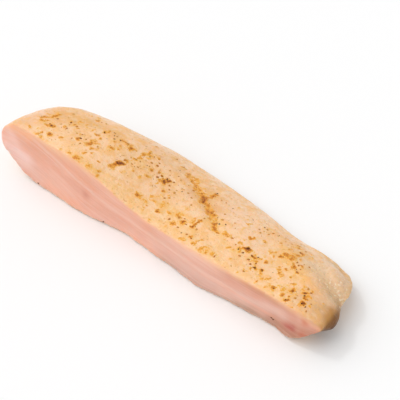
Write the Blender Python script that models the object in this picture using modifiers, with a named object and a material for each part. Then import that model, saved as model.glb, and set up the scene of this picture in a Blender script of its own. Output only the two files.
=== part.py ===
"""Half of a skinless chicken breast, seasoned, cooked whole and then cut lengthwise with a knife.

The piece lies on its flat underside. X runs along the meat's fibres, from the thick shoulder end to the thin
end. The cut face looks to -Y, the breast's natural outer edge is at +Y, and Z is up. The origin is the middle
of the base of the piece's box. Coarse grains of pepper are stuck to the seasoned upper surface.

Sizes are in millimetres. A place on the meat is given by two distances: "along" it from the thick end, and
"across" it from the cut.
"""

import math
import random

import bmesh
import bpy
from mathutils import Matrix, Vector, noise
from mathutils.bvhtree import BVHTree

MM = 0.001

# The cut face.
CUT_LENGTH = 175.0
THICK_END = 29.5  # height of the cut at the shoulder of the breast
THIN_END = 18.6  # height of the cut over the thin two thirds
SHOULDER = (38.5, 90.5)  # along: where the height falls from one to the other
LEAN_THICK, LEAN_THIN = 2.5, 0.8  # how far the upper rim leans back from the lower one
LEAN_EASES = (35.0, 95.0)  # along: where the lean goes from one to the other
TIP_BACK, TIP_RUN = 2.0, 9.0  # how far the cut turns back at the thin end, and over what length
LOWER_RIM_WAVES = (  # (along, reach, how far in): the knife's wandering at the lower rim
    (45.0, 14.0, -1.0),
    (72.0, 11.0, 1.9),
    (116.0, 11.0, -2.3),
    (153.0, 8.0, 0.9),
    (164.0, 5.0, -1.0),
)

# The natural side.
WIDTH = 52.0  # from the cut to the outer edge, at the widest
WIDEST_AT = 63.5  # along
EDGE_BOW = 192.0  # the larger, the straighter the outer edge
LOBE_WIDTH = 5.5  # how much wider the lobe at the thin end makes the piece
LOBE_WIDENS = (132.0, 166.0)  # along: where it does so
TURN = 0.94  # share of the width at which the top turns over into the outer edge
EDGE_ROUND = 4.0  # the larger, the nearer to the edge it starts to bulge
CROWN_FLAT, CROWN_ROUND = 2.4, 1.8  # how flat the top stays near the cut, and how round it turns down
FLAT_UNDER = 0.7  # share of the width over which the underside is flat
UNDER_RISE = 0.08  # how far it turns up past that, as a share of the cut's height

# The flat that the piece rests on. Its sides bow in, and round it the underside stays a little clear.
FOOT_MIDDLE, FOOT_HALF = (90.0, 17.0), (66.0, 13.0)  # (along, across)
FOOT_WAIST = 2.0  # how far its sides bow in
CLEAR, CLEAR_RUN = 0.4, 3.0  # how high the underside stands clear, and over what distance it rises
CLEAR_FADES = 5.0  # height at which that rise has faded out

# The ends.
# How high the underside curls up at the cut, over what length, and the power that it curls up with.
THICK_LIFT, THICK_LIFT_RUN, THICK_CURL = 15.0, 18.0, 1.6
THIN_LIFT, THIN_LIFT_RUN, THIN_CURL = 12.0, 14.0, 1.4
NOSE_AT, NOSE_REACH = 0.3, 0.17  # where, as a share of the width, the thin end curls up least
NOSE_LOW = 0.7  # by how much less, as a share
THICK_DROP, THIN_DROP, DROP_RUN = 6.0, 4.2, 10.0  # how far the upper surface rolls down, over what length
LEAST_HEIGHT = 2.0  # of an end
END_SWELL = 1.5  # how far an end stands out at half its height

# The outlines of the ends from above. Each pair is how far an end is set back, and the power of the width's
# share that it is set back with.
THICK_SWEEP, THICK_CORNER = (11.0, 1.3), (9.0, 6.0)
THIN_BACK, THIN_CORNER = (0.7, 0.0), (9.5, 5.0)
NOSE_OUT = 1.9  # how far the thin end's nose stands out
NOTCH, NOTCH_AT, NOTCH_REACH = 1.8, 0.5, 0.1  # the notch that the valley leaves in the thin end

# Folds of the upper surface: a valley near the thin end, a lobe of meat past it, and creases.
VALLEY = ((176.0, 18.5), (152.0, 29.0))  # (along, across) of its two ends
VALLEY_WIDTH, VALLEY_DEPTH = 4.5, 2.2
VALLEY_FAR = 0.4  # its depth at the second end, as a share of that at the first
LOBE, LOBE_REACH, LOBE_HEIGHT = (167.0, 31.0), 9.0, 1.8
CREASES = (  # (width, depth, the points that it runs through)
    (2.6, 0.8, ((76.0, 41.0), (84.5, 35.0), (95.0, 29.5), (104.0, 23.0), (113.0, 15.5))),
    (2.0, 0.5, ((95.0, 29.5), (97.0, 37.5))),
    (2.6, 0.6, ((56.5, 6.0), (58.5, 15.0), (61.5, 33.5))),
)
CREASE_FADE = 0.12  # the larger, the deeper a crease still is at its ends
SWELLS = 0.5  # height of the gentle, irregular swells of the surface
SWELL_LONG, SWELL_WIDE, SWELL_LAYER = 22.0, 14.0, 3.0  # their size along and across, and the layer of noise

# The coarse grid that the form is bent from.
CELLS_ALONG, CELLS_ACROSS, CELLS_HIGH = 32, 10, 3
CLOSER_AT_ENDS = 0.055  # how far the cells are drawn towards the ends
RIM_CREASE, END_CREASE = 0.9, 0.55  # how sharp the cut's long rims and its two ends stay

# Pepper: where the grains lie close together, as (along, across, reach, how many), and a few more anywhere.
GRAIN_CLUSTERS = (
    (24.0, 17.0, 6.0, 8),
    (42.0, 15.0, 6.0, 6),
    (45.0, 28.0, 4.0, 5),
    (58.0, 22.0, 7.0, 6),
    (67.0, 27.0, 5.0, 8),
    (76.0, 25.0, 6.0, 10),
    (86.0, 26.0, 6.0, 6),
    (97.0, 34.0, 5.0, 7),
    (101.0, 9.0, 6.0, 6),
    (110.0, 23.0, 6.0, 8),
    (132.0, 12.0, 7.0, 12),
    (128.0, 33.0, 7.0, 8),
    (140.0, 35.0, 4.0, 5),
    (150.0, 24.0, 7.0, 7),
    (163.0, 9.0, 6.0, 8),
)
LOOSE_GRAINS = 16
GRAIN_BOUNDS = ((8.0, 169.0), (2.5, 0.82))  # least and most along, then across, its most a share of the width
GRAIN_SPREAD = (0.6, 0.5)  # of a cluster along and across, as a share of its reach
GRAIN_SIZE = (0.8, 1.5)
GRAIN_NARROW = 0.65  # the narrowest is this share of its length wide
GRAIN_FLATNESS = 0.7  # height as a share of the length
GRAIN_SUNK = 0.15  # how far its middle lies below the surface, as a share of its width
GRAIN_GAP = 2.0  # least distance between two grains
GRAIN_SEED = 11


def eased(t):
    """0 below 0, 1 above 1, and a smooth rise between."""
    t = min(max(t, 0.0), 1.0)
    return t * t * (3.0 - 2.0 * t)


def blend(a, b, t):
    return a + (b - a) * t


def bump(value, centre, reach):
    """1 at the centre, falling smoothly to nothing a little past its reach."""
    return math.exp(-(((value - centre) / reach) ** 2))


def between(value, ends):
    """0 before the first of two ends, 1 after the second, and a smooth rise between."""
    return eased((value - ends[0]) / (ends[1] - ends[0]))


def near_end(distance, run):
    """1 at an end of the piece, 0 further than run from it."""
    return min(max(1.0 - distance / run, 0.0), 1.0)


def cut_height(along):
    return blend(THICK_END, THIN_END, between(along, SHOULDER))


def underside_lift(along, v):
    """How high the underside curls up at the ends. The thin end's nose stays low."""
    thick = THICK_LIFT * near_end(along, THICK_LIFT_RUN) ** THICK_CURL
    thin = THIN_LIFT * near_end(CUT_LENGTH - along, THIN_LIFT_RUN) ** THIN_CURL
    return thick + thin * (1.0 - NOSE_LOW * bump(v, NOSE_AT, NOSE_REACH))


def top_drop(along):
    thick = THICK_DROP * near_end(along, DROP_RUN) ** 2
    thin = THIN_DROP * near_end(CUT_LENGTH - along, DROP_RUN) ** 2
    return thick + thin


def rim_shift(along, w):
    """How far the cut stands back from a straight line, from its lower rim (w = 0) to its upper (w = 1)."""
    lower = sum(depth * bump(along, centre, reach) for centre, reach, depth in LOWER_RIM_WAVES)
    upper = blend(LEAN_THICK, LEAN_THIN, between(along, LEAN_EASES))
    tip = TIP_BACK * near_end(CUT_LENGTH - along, TIP_RUN) ** 2
    return blend(lower, upper, w) + tip


def half_width(along):
    bow = 1.0 - ((along - WIDEST_AT) / EDGE_BOW) ** 2
    return WIDTH * bow + LOBE_WIDTH * between(along, LOBE_WIDENS)


def crown(share):
    """The upper surface's height as a share of the cut's, at a share of the width."""
    return max(1.0 - share**CROWN_FLAT, 0.0) ** (1.0 / CROWN_ROUND)


def under_curve(share):
    """How far the underside turns up towards the outer edge, as a share of the cut's height."""
    return UNDER_RISE * (max(share - FLAT_UNDER, 0.0) / (TURN - FLAT_UNDER)) ** 2


def set_back(v, corner):
    depth, power = corner
    return depth * v**power


def thick_outline(v):
    """How far the thick end's outline is set back, which rounds its far corner."""
    return set_back(v, THICK_SWEEP) + set_back(v, THICK_CORNER)


def thin_outline(v):
    """How far the thin end's outline stands out, with the nose, the valley's notch and the lobe's corner."""
    nose = NOSE_OUT * bump(v, NOSE_AT, NOSE_REACH)
    notch = NOTCH * bump(v, NOTCH_AT, NOTCH_REACH)
    return nose - notch - set_back(v, THIN_BACK) - set_back(v, THIN_CORNER)


def place(u, v, w):
    """Where a point of the unit cube goes: u along, v from cut to outer edge, w from below to above."""
    along = CUT_LENGTH * u
    share = TURN * v
    low = max(underside_lift(along, v) * crown(share), cut_height(along) * under_curve(share))
    high = (cut_height(along) - top_drop(along)) * crown(share)
    high = max(high, low + LEAST_HEIGHT)
    middle = math.sin(math.pi * w)
    start = thick_outline(v) - END_SWELL * middle
    end = CUT_LENGTH + thin_outline(v) + END_SWELL * middle
    bulge = (1.0 - TURN) * middle * v**EDGE_ROUND
    y = half_width(along) * (share + bulge) + (1.0 - v) * rim_shift(along, w)
    return Vector((blend(start, end, u), y, blend(low, high, w))) * MM


def distance_to_path(spot, points):
    """Distance of a spot from a path, and the share of the way along the path of its nearest place."""
    nearest = (math.inf, 0.0)
    spans = len(points) - 1
    for index in range(spans):
        start = Vector(points[index])
        line = Vector(points[index + 1]) - start
        share = min(max((spot - start).dot(line) / line.length_squared, 0.0), 1.0)
        nearest = min(nearest, ((spot - start - line * share).length, (index + share) / spans))
    return nearest


def crease_depth(spot, width, depth, points):
    """A crease is a rounded groove that fades at both its ends."""
    off, share = distance_to_path(spot, points)
    return depth * bump(off, 0.0, width) * math.sin(math.pi * blend(CREASE_FADE, 1.0 - CREASE_FADE, share))


def relief(along, across):
    """How far the upper surface stands above its smooth crown."""
    spot = Vector((along, across))
    off, share = distance_to_path(spot, VALLEY)
    valley = VALLEY_DEPTH * bump(off, 0.0, VALLEY_WIDTH) * blend(1.0, VALLEY_FAR, share)
    lobe = LOBE_HEIGHT * bump((spot - Vector(LOBE)).length, 0.0, LOBE_REACH)
    crease = max(crease_depth(spot, *crease) for crease in CREASES)
    swells = SWELLS * noise.noise(Vector((along / SWELL_LONG, across / SWELL_WIDE, SWELL_LAYER)))
    return lobe + swells - valley - crease


def clearance(along, across, up):
    """How far the underside stands clear of what the piece lies on, outside its foot."""
    off = [(value - middle) / half for value, middle, half in zip((along, across), FOOT_MIDDLE, FOOT_HALF)]
    outside = Vector((0.0, 0.0))
    for axis in (0, 1):
        waist = FOOT_WAIST * (1.0 - min(abs(off[1 - axis]), 1.0) ** 2)
        outside[axis] = max(FOOT_HALF[axis] * (abs(off[axis]) - 1.0) + waist, 0.0)
    return CLEAR * eased(outside.length / CLEAR_RUN) * max(1.0 - up / CLEAR_FADES, 0.0)


def unit_cube_grid():
    """A cube from 0 to 1, scored by planes into a grid."""
    grid = bmesh.new()
    bmesh.ops.create_cube(grid, size=1.0, matrix=Matrix.Translation((0.5, 0.5, 0.5)))
    for axis, cells in enumerate((CELLS_ALONG, CELLS_ACROSS, CELLS_HIGH)):
        normal = Vector((0.0, 0.0, 0.0))
        normal[axis] = 1.0
        for step in range(1, cells):
            share = step / cells
            if axis == 0:
                share -= CLOSER_AT_ENDS * math.sin(2.0 * math.pi * share)
            bmesh.ops.bisect_plane(
                grid,
                geom=grid.verts[:] + grid.edges[:] + grid.faces[:],
                plane_co=normal * share,
                plane_no=normal,
            )
    return grid


def crease_cut(grid):
    """Keeps the rims that the knife left sharp when the grid is smoothed."""
    creases = grid.edges.layers.float.new("crease_edge")
    for edge in grid.edges:
        ends = [vertex.co for vertex in edge.verts]
        if any(end.y > 1e-4 for end in ends):
            continue
        if all(end.z < 1e-4 for end in ends) or all(end.z > 1.0 - 1e-4 for end in ends):
            edge[creases] = RIM_CREASE
        elif all(end.x < 1e-4 for end in ends) or all(end.x > 1.0 - 1e-4 for end in ends):
            edge[creases] = END_CREASE


def apply_modifiers(obj):
    graph = bpy.context.evaluated_depsgraph_get()
    made = bpy.data.meshes.new_from_object(obj.evaluated_get(graph))
    obj.modifiers.clear()
    obj.data = made


def make_meat(collection):
    """The meat: a grid bent to the form, smoothed, then given the folds of its upper surface and its foot."""
    grid = unit_cube_grid()
    crease_cut(grid)
    for vertex in grid.verts:
        vertex.co = place(*vertex.co)
    mesh = bpy.data.meshes.new("chicken_breast")
    grid.to_mesh(mesh)
    grid.free()
    meat = bpy.data.objects.new("chicken_breast", mesh)
    collection.objects.link(meat)
    smooth = meat.modifiers.new("round", "SUBSURF")
    smooth.levels = smooth.render_levels = 1
    apply_modifiers(meat)
    for vertex in meat.data.vertices:
        along, across, up = vertex.co / MM
        top = cut_height(along) * crown(min(max(across / half_width(along), 0.0), TURN))
        vertex.co.z += min(up / top, 1.0) ** 2 * relief(along, across) * MM
        vertex.co.z += clearance(along, across, up) * MM
    return meat


def grain_places(draw):
    """Spots for the grains: first those of the clusters, then the loose ones, all clear of each other."""
    spots = []

    (least_along, most_along), (least_across, most_share) = GRAIN_BOUNDS
    spread_along, spread_across = GRAIN_SPREAD

    def add(spot):
        inside = least_along < spot.x < most_along and least_across < spot.y < most_share * half_width(spot.x)
        if inside and all((spot - other).length > GRAIN_GAP for other in spots):
            spots.append(spot)

    for along, across, reach, count in GRAIN_CLUSTERS:
        wanted = len(spots) + count
        while len(spots) < wanted:
            add(Vector((draw.gauss(along, spread_along * reach), draw.gauss(across, spread_across * reach))))
    wanted = len(spots) + LOOSE_GRAINS
    while len(spots) < wanted:
        add(Vector((draw.uniform(0.0, CUT_LENGTH), draw.uniform(0.0, WIDTH))))
    return spots


def make_grains(meat, collection):
    """Grains of pepper, each an angular, flattened lump half sunk in the surface."""
    draw = random.Random(GRAIN_SEED)
    surface = BVHTree.FromPolygons(
        [vertex.co for vertex in meat.data.vertices],
        [face.vertices for face in meat.data.polygons],
    )
    for spot in grain_places(draw):
        above = Vector((spot.x, spot.y, 2.0 * THICK_END)) * MM
        found, normal, _, _ = surface.ray_cast(above, Vector((0.0, 0.0, -1.0)))
        size = draw.uniform(*GRAIN_SIZE) * MM
        turn = Matrix.Rotation(draw.uniform(0.0, math.tau), 4, "Z")
        stretch = Matrix.Diagonal((1.0, draw.uniform(GRAIN_NARROW, 1.0), GRAIN_FLATNESS, 1.0))
        stand = normal.to_track_quat("Z", "Y").to_matrix().to_4x4()
        centre = Matrix.Translation(found - normal * GRAIN_SUNK * size)
        lump = bmesh.new()
        bmesh.ops.create_icosphere(
            lump, subdivisions=1, radius=size / 2.0, matrix=centre @ stand @ turn @ stretch
        )
        mesh = bpy.data.meshes.new("pepper")
        lump.to_mesh(mesh)
        lump.free()
        collection.objects.link(bpy.data.objects.new("pepper", mesh))


def join_grains(meat, grains):
    """Makes the meat and its grains one solid."""
    print("grains:", len(grains.objects))
    union = meat.modifiers.new("pepper", "BOOLEAN")
    union.operation = "UNION"
    union.operand_type = "COLLECTION"
    union.collection = grains
    apply_modifiers(meat)
    for grain in list(grains.objects):
        bpy.data.objects.remove(grain, do_unlink=True)
    bpy.data.collections.remove(grains)


def centre_on_base(obj):
    """Moves the mesh so that the origin is in the middle of the base of its box."""
    corners = [Vector(corner) for corner in obj.bound_box]
    low = Vector(map(min, *corners))
    high = Vector(map(max, *corners))
    middle = (low + high) / 2.0
    obj.data.transform(Matrix.Translation((-middle.x, -middle.y, -low.z)))
    print("size, mm:", [round(side / MM, 2) for side in high - low])
    print("thick end of the cut is at, mm:", [round(side / MM, 3) for side in (-middle.x, -middle.y, -low.z)])


def cooked_meat():
    material = bpy.data.materials.new("cooked_chicken")
    material.use_nodes = True
    shader = material.node_tree.nodes["Principled BSDF"]
    shader.inputs["Base Color"].default_value = (0.87, 0.58, 0.36, 1.0)
    shader.inputs["Roughness"].default_value = 0.45
    shader.inputs["Metallic"].default_value = 0.0
    return material


def main():
    for obj in list(bpy.data.objects):
        bpy.data.objects.remove(obj, do_unlink=True)
    parts = bpy.data.collections.new("chicken_breast")
    grains = bpy.data.collections.new("pepper")
    for collection in (parts, grains):
        bpy.context.scene.collection.children.link(collection)
    meat = make_meat(parts)
    make_grains(meat, grains)
    join_grains(meat, grains)
    centre_on_base(meat)
    meat.data.materials.clear()
    meat.data.materials.append(cooked_meat())


main()
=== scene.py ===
# %% [markdown]
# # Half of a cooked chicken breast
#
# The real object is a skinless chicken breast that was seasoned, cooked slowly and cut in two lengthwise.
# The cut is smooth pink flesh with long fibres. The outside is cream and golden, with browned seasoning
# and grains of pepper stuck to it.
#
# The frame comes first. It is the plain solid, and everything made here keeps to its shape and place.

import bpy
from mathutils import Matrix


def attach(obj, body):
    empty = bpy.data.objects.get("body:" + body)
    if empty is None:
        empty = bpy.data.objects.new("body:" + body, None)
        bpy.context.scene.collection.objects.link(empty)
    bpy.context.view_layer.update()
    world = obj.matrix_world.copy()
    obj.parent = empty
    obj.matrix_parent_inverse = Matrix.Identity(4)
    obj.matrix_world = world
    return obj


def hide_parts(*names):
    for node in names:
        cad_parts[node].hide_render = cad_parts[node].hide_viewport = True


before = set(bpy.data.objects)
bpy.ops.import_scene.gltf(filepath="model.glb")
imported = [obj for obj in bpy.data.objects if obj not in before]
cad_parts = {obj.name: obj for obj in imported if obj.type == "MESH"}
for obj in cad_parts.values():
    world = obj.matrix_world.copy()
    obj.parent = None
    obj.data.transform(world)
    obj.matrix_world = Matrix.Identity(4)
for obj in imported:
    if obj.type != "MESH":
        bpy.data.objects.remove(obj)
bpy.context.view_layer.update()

# %% What the other cells use
import math
import random

import bpy
import numpy as np
from mathutils import Matrix, Vector, noise
from mathutils.bvhtree import BVHTree

MM = 0.001
bpy.ops.object.select_all(action="DESELECT")


def shade(red, green, blue):
    """A screen colour, from 0 to 255, in Blender's linear values."""
    return tuple((side / 255.0) ** 2.2 for side in (red, green, blue)) + (1.0,)


def new_material(name):
    """A material, its tree of nodes and its shader."""
    material = bpy.data.materials.new(name)
    material.use_nodes = True
    return material, material.node_tree, material.node_tree.nodes["Principled BSDF"]


# %% [markdown]
# ## The camera
#
# A camera is placed by what it looks at, the direction it looks from and its distance. A long lens from
# half a metre away gives the gentle perspective of a food photograph: near rim and far edge stay almost
# parallel.

# %% The camera
LOOK_AT = Vector((-2.47, 14.18, 0.0)) * MM
AZIMUTH, ELEVATION = math.radians(38.086), math.radians(47.0)
DISTANCE, LENS, NEAREST = 0.55, 108.09, 0.01

level = math.cos(ELEVATION)
back = Vector((math.sin(AZIMUTH) * level, -math.cos(AZIMUTH) * level, math.sin(ELEVATION)))
bpy.ops.object.camera_add(location=LOOK_AT + back * DISTANCE)
camera = bpy.context.object
camera.rotation_euler = back.to_track_quat("Z", "Y").to_euler()
camera.data.lens = LENS
camera.data.clip_start = NEAREST
bpy.context.scene.camera = camera
print("camera is at, mm:", [round(side / MM) for side in camera.location])

# %% [markdown]
# ## Floor and light
#
# The floor is a plain, nearly white sheet, a hair below the meat. Food looks moist and tender in a broad,
# soft light from one side, because it grazes the surface and shows the relief. A small sharp lamp adds
# glints, a low one lights the cut, and a white sky fills the shadows.

# %% The floor
FLOOR_SIZE, FLOOR_GAP = 8.0, 0.0002
FLOOR_TONE, FLOOR_ROUGHNESS = (0.93, 0.93, 0.93, 1.0), 0.9

bpy.ops.mesh.primitive_plane_add(size=FLOOR_SIZE, location=(0.0, 0.0, -FLOOR_GAP))
floor = bpy.context.object
floor.name = "floor"
floor_paint, _, floor_shader = new_material("pale_floor")
floor_shader.inputs["Base Color"].default_value = FLOOR_TONE
floor_shader.inputs["Roughness"].default_value = FLOOR_ROUGHNESS
floor.data.materials.append(floor_paint)
print("floor, m:", floor.dimensions.x)

# %% The light
LAMPS = (  # (name, the direction towards it, strength, spread in degrees)
    ("window", (-0.52, -0.2, 0.83), 1.12, 75.0),
    ("glint", (-0.6, -0.05, 0.8), 0.3, 7.0),
    ("card", (-0.3, -0.9, 0.45), 0.3, 60.0),
)
SKY_TONE, SKY_STRENGTH = (1.0, 1.0, 1.0, 1.0), 0.66


def soft_sun(name, towards, strength, spread):
    """A distant lamp: it lights the whole floor evenly, and its spread softens the shadows."""
    bpy.ops.object.light_add(type="SUN", location=Vector(towards))
    lamp = bpy.context.object
    lamp.name = name
    lamp.rotation_euler = Vector(towards).to_track_quat("Z", "Y").to_euler()
    lamp.data.energy = strength
    lamp.data.angle = math.radians(spread)


for lamp_row in LAMPS:
    soft_sun(*lamp_row)

sky = bpy.data.worlds.new("sky")
bpy.context.scene.world = sky
sky.use_nodes = True
sky_light = sky.node_tree.nodes["Background"]
sky_light.inputs["Color"].default_value = SKY_TONE
sky_light.inputs["Strength"].default_value = SKY_STRENGTH
bpy.context.scene.view_settings.view_transform = "Standard"
print("lamps:", len(LAMPS))

# %% [markdown]
# ## The form, in numbers
#
# A breast fillet has no straight lines, so its form is written as a few curves. A place on it is given by
# "along", the distance from its thick end, and "across", the distance from the cut, both in millimetres.
# Small helpers come first. They take one number or a whole array of them.

# %% Curves to build with


def eased(t):
    """0 up to 0, 1 from 1 on, and a smooth step between."""
    t = np.clip(t, 0.0, 1.0)
    return t * t * (3.0 - 2.0 * t)


def blend(a, b, t):
    """A mix of two numbers: a where t is 0, and b where it is 1."""
    return a + (b - a) * t


def between(value, ends):
    """A smooth step from 0 at the first end to 1 at the second."""
    return eased((value - ends[0]) / (ends[1] - ends[0]))


def bump(value, centre, reach):
    """A bell: 1 at the centre, about a third at the reach, and soon nothing."""
    return np.exp(-(((value - centre) / reach) ** 2))


def near_end(distance, run):
    """1 at an end of the meat, falling evenly to 0 over the run."""
    return np.clip(1.0 - distance / run, 0.0, 1.0)


# %% Heights: the cut is tall at the shoulder, then low and even
LENGTH = 175.0
SHOULDER_HEIGHT, LOW_HEIGHT, SLOPE = 29.5, 18.6, (38.5, 90.5)
CROWN_FLATNESS, CROWN_ROUNDNESS = 2.4, 1.8
THICK_DROP, THIN_DROP, DROP_RUN = 6.0, 4.2, 10.0
THICK_CURL, THIN_CURL = (15.0, 18.0, 1.6), (12.0, 14.0, 1.4)  # (height, run, power)
NOSE_AT, NOSE_REACH, NOSE_SAG = 0.3, 0.17, 0.7


def cut_height(along):
    return blend(SHOULDER_HEIGHT, LOW_HEIGHT, between(along, SLOPE))


def crown(share):
    """Height over the width, as a share of the cut's height."""
    return np.maximum(1.0 - share**CROWN_FLATNESS, 0.0) ** (1 / CROWN_ROUNDNESS)


def top_drop(along):
    """How far the top comes down towards the two ends."""
    return THICK_DROP * near_end(along, DROP_RUN) ** 2 + THIN_DROP * near_end(LENGTH - along, DROP_RUN) ** 2


def curl(distance, height, run, power):
    return height * near_end(distance, run) ** power


def underside(along, v):
    """The underside curls up at both ends, less at the blunt nose of the thin end."""
    flatter = 1.0 - NOSE_SAG * bump(v, NOSE_AT, NOSE_REACH)
    return curl(along, *THICK_CURL) + curl(LENGTH - along, *THIN_CURL) * flatter


print("height of the cut, mm:", [round(float(cut_height(along)), 1) for along in (0, 60, 120, 175)])

# %% Widths: a bowed outer edge, and a knife's path that wanders
CROWN_END = 0.94  # the share of the width where the crown ends in a low flank
WIDEST, WIDEST_AT, BOW = 52.0, 63.5, 192.0
LOBE_WIDTH, LOBE_RUN = 5.5, (132.0, 166.0)
# Each wave of the lower rim: (along, reach, how far it stands back)
RIM_WAVES = ((45.0, 14.0, -1.0), (72.0, 11.0, 1.9), (116.0, 11.0, -2.3), (153.0, 8.0, 0.9), (164.0, 5.0, -1.0))
RIM_LEAN, LEAN_RUN = (2.5, 0.8), (35.0, 95.0)
END_BACK, END_BACK_RUN = 2.0, 9.0


def half_width(along):
    return WIDEST * (1.0 - ((along - WIDEST_AT) / BOW) ** 2) + LOBE_WIDTH * between(along, LOBE_RUN)


def rim_shift(along, w):
    """How far the cut stands back, from its lower rim (w = 0) to its upper rim (w = 1)."""
    lower = sum(depth * bump(along, centre, reach) for centre, reach, depth in RIM_WAVES)
    upper = blend(*RIM_LEAN, between(along, LEAN_RUN))
    return blend(lower, upper, w) + END_BACK * near_end(LENGTH - along, END_BACK_RUN) ** 2


# %% Ends, seen from above. v runs from 0 at the cut to 1 at the outer edge
THICK_SLANT, THICK_CORNER = 11.0, 9.0
NOSE, NOTCH, THIN_CORNER, THIN_BACK = 1.9, 1.8, 9.5, 0.7
NOTCH_AT, NOTCH_REACH = 0.5, 0.1


def thick_outline(v):
    """A slant, and a round corner at the outer edge."""
    return THICK_SLANT * v**1.3 + THICK_CORNER * v**6


def thin_outline(v):
    """A nose, the notch where the valley runs out, and the round corner of the lobe."""
    nose = NOSE * bump(v, NOSE_AT, NOSE_REACH)
    return nose - THIN_BACK - THIN_CORNER * v**5 - NOTCH * bump(v, NOTCH_AT, NOTCH_REACH)


# %% One point of a cube, taken to its place on the breast
TURN_UP, TURN_UP_FROM = 0.08, 0.7  # the underside rises towards the outer edge
LEAST_THICKNESS, END_BULGE = 2.0, 1.5


def place(u, v, w):
    """u, v and w are the point's shares of the length, the width and the height."""
    along, share, middle = LENGTH * u, CROWN_END * v, math.sin(math.pi * w)
    turned_up = TURN_UP * (max(share - TURN_UP_FROM, 0.0) / (CROWN_END - TURN_UP_FROM)) ** 2
    low = max(underside(along, v) * crown(share), cut_height(along) * turned_up)
    high = max((cut_height(along) - top_drop(along)) * crown(share), low + LEAST_THICKNESS)
    start = thick_outline(v) - END_BULGE * middle
    end = LENGTH + thin_outline(v) + END_BULGE * middle
    bulge = (1.0 - CROWN_END) * middle * v**4
    across = half_width(along) * (share + bulge) + (1.0 - v) * rim_shift(along, w)
    return Vector((blend(start, end, u), across, blend(low, high, w)))


# %% [markdown]
# ## The meat
#
# By hand, one would start with a cube, score it into a grid with the bisect tool, pull the grid to the form
# of the breast and smooth it with a Subdivision Surface. That is done here, with the pulling left to the
# curves above. Each point first notes where it was in the cube: that tells later which side it is on.

# %% A cube, scored into a grid
CELLS = (32, 10, 3)
CROWDING = 0.055  # the scores along the length stand closer at both ends

bpy.ops.mesh.primitive_cube_add(size=1.0, location=(0.5, 0.5, 0.5))
meat = bpy.context.object
meat.name = "chicken_half"
bpy.ops.object.transform_apply(location=True, rotation=False, scale=False)
bpy.ops.object.mode_set(mode="EDIT")
for axis, cells in enumerate(CELLS):
    normal = [0.0, 0.0, 0.0]
    normal[axis] = 1.0
    for step in range(1, cells):
        share = step / cells
        if axis == 0:
            share -= CROWDING * math.sin(math.tau * share)
        bpy.ops.mesh.select_all(action="SELECT")
        bpy.ops.mesh.bisect(plane_co=[share * side for side in normal], plane_no=normal)
bpy.ops.object.mode_set(mode="OBJECT")
print("grid:", len(meat.data.vertices), "points,", len(meat.data.polygons), "faces")

# %% The rims that the knife left stay sharp
RIM_CREASE, END_CREASE = 0.48, 0.42
HAIR = 1e-4  # closer than this counts as touching

sharp = meat.data.attributes.new("crease_edge", "FLOAT", "EDGE")
for edge in meat.data.edges:
    ends = [meat.data.vertices[index].co for index in edge.vertices]
    if max(end.y for end in ends) > HAIR:
        continue
    heights = [end.z for end in ends]
    if max(heights) < HAIR or min(heights) > 1.0 - HAIR:
        sharp.data[edge.index].value = RIM_CREASE
    elif max(end.x for end in ends) < HAIR or min(end.x for end in ends) > 1.0 - HAIR:
        sharp.data[edge.index].value = END_CREASE
print("sharp edges:", sum(row.value > 0.0 for row in sharp.data))

# %% The grid is bent to the breast and smoothed
SMOOTHINGS = 3

cube_place = meat.data.attributes.new("cube_place", "FLOAT_VECTOR", "POINT")
for vertex in meat.data.vertices:
    cube_place.data[vertex.index].vector = vertex.co
    vertex.co = place(*vertex.co)
smooth = meat.modifiers.new("round", "SUBSURF")
smooth.levels = smooth.render_levels = SMOOTHINGS
bpy.ops.object.modifier_apply(modifier="round")
print("smoothed:", len(meat.data.vertices), "points")

# %% Tools that read and write numbers for every point


def read(name):
    """Three numbers for each point: its place, its normal, or what a name keeps."""
    values = np.zeros(len(meat.data.vertices) * 3, np.float32)
    if name in ("co", "normal"):
        meat.data.vertices.foreach_get(name, values)
    else:
        meat.data.attributes[name].data.foreach_get("vector", values)
    return values.reshape(-1, 3).astype(float)


def tell(name, values):
    print(f"{name}: {values.min():.2f} to {values.max():.2f}, mean {values.mean():.3f}")


def write(name, values):
    """Keeps one number for each point under a name, for the material to read."""
    layer = meat.data.attributes.new(name, "FLOAT", "POINT")
    layer.data.foreach_set("value", np.asarray(values, np.float32))
    tell(name, values)


def move(offsets):
    """Moves every point by its own offset, in millimetres."""
    global spots, xs, ys, zs
    spots = spots + offsets
    xs, ys, zs = spots.T
    meat.data.vertices.foreach_set("co", spots.astype(np.float32).ravel())
    meat.data.update()


def lumps(size, layer):
    """Soft noise from -1 to 1 for every point. size is one number, or three: along, across and up."""
    return np.array([noise.noise(Vector(spot / size) + Vector((0.0, 0.0, layer))) for spot in spots])


edges = np.zeros(len(meat.data.edges) * 2, np.int32)
meat.data.edges.foreach_get("vertices", edges)
edges = edges.reshape(-1, 2)


def soften(values, rounds):
    """Spreads a number over the mesh: in each round, a point moves halfway to its neighbours' mean."""
    count = np.bincount(edges.ravel(), minlength=len(values))
    for _ in range(rounds):
        total = np.bincount(edges[:, 0], values[edges[:, 1]], len(values))
        total += np.bincount(edges[:, 1], values[edges[:, 0]], len(values))
        values = 0.5 * values + 0.5 * total / count
    return values


spots = read("co")
xs, ys, zs = spots.T  # every point's place: along, across and up
shares = read("cube_place")
on_cut = (shares[:, 1] < HAIR).astype(float)
outside = 1.0 - on_cut
print("points on the cut:", int(on_cut.sum()))

# %% [markdown]
# ## Folds of the outside
#
# The upper surface has a valley near the thin end with a lobe of meat past it, a few creases, and slow
# swells. They are the same as in the frame, move the points up and down, and fade out further down.

# %% Distances on the meat


def off_spot(flat, along, across):
    """For every place in flat: its distance from one spot."""
    return np.hypot(flat[:, 0] - along, flat[:, 1] - across)


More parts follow.
